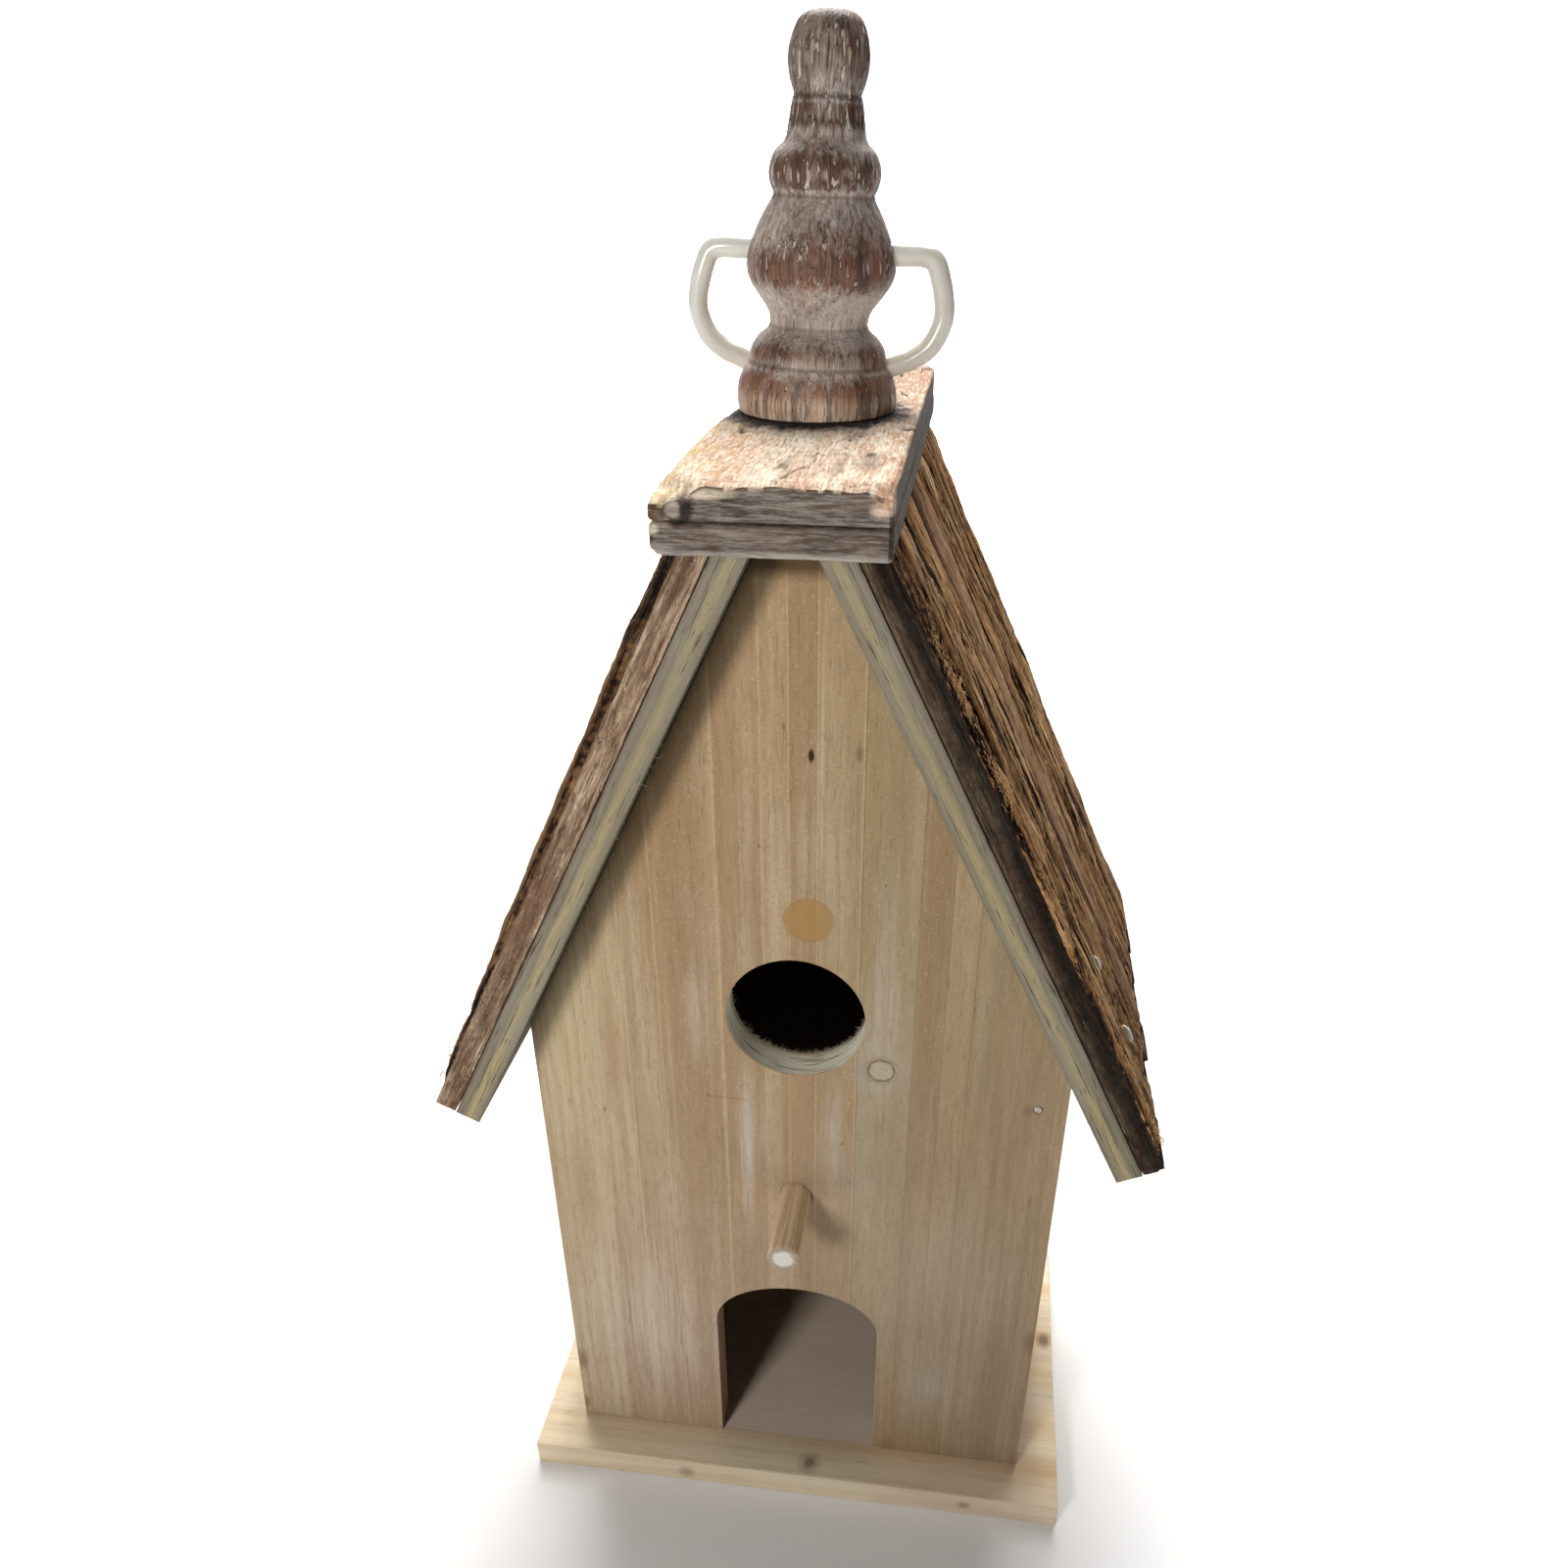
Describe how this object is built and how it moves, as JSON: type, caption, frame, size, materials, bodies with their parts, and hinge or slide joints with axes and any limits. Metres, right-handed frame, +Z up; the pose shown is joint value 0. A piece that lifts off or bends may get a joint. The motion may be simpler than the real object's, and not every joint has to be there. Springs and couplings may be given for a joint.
{
  "type": "birdhouse",
  "caption": "Wooden birdhouse with a steep bark-clad gable roof, ridge cap and turned finial with side handles, a round entry hole, a perch and an arched doorway.",
  "frame": {"origin": "centre of the base board's underside", "axes": "+Z up, -Y towards the front wall with the entry hole and doorway, +X to the right of someone facing the front"},
  "size_m": [0.1956, 0.1616, 0.4123],
  "materials": {
    "wall_wood": "unfinished pale softwood, satin",
    "base_wood": "unfinished pale softwood",
    "roof_ply": "raw three-ply board with grey face veneers",
    "weathered_wood": "weathered grey-brown, whitewashed in places",
    "bark": "rough, furrowed and matt",
    "split_wood": "rough split grain, matt",
    "stained_wood": "dark stain with whitewash rubbed into the grooves",
    "enamel": "gloss off-white",
    "steel": "plain"
  },
  "bodies": {
    "root": {"front_wall": "wall_wood", "back_wall": "wall_wood", "left_wall": "wall_wood", "right_wall": "wall_wood", "perch_dowel": "wall_wood", "base_board": "base_wood", "wall_plug": "base_wood", "roof_board_left": "roof_ply", "bark_strip_left_1": "bark", "bark_strip_left_2": "bark", "bark_strip_left_3": "bark", "bark_strip_left_4": "bark", "bark_strip_left_5": "bark", "bark_strip_left_6": "bark", "handle_left": "enamel", "base_screw_front_left": "steel", "base_screw_back_left": "steel", "roof_board_right": "roof_ply", "bark_strip_right_1": "bark", "bark_strip_right_2": "bark", "bark_strip_right_3": "bark", "bark_strip_right_4": "bark", "bark_strip_right_5": "bark", "bark_strip_right_6": "bark", "handle_right": "enamel", "base_screw_front_right": "steel", "base_screw_back_right": "steel", "ridge_cap_lower": "weathered_wood", "ridge_cap_upper": "split_wood", "finial": "stained_wood", "wall_brad": "steel", "cap_nail": "steel", "finial_screw": "steel"}
  },
  "joints": []
}
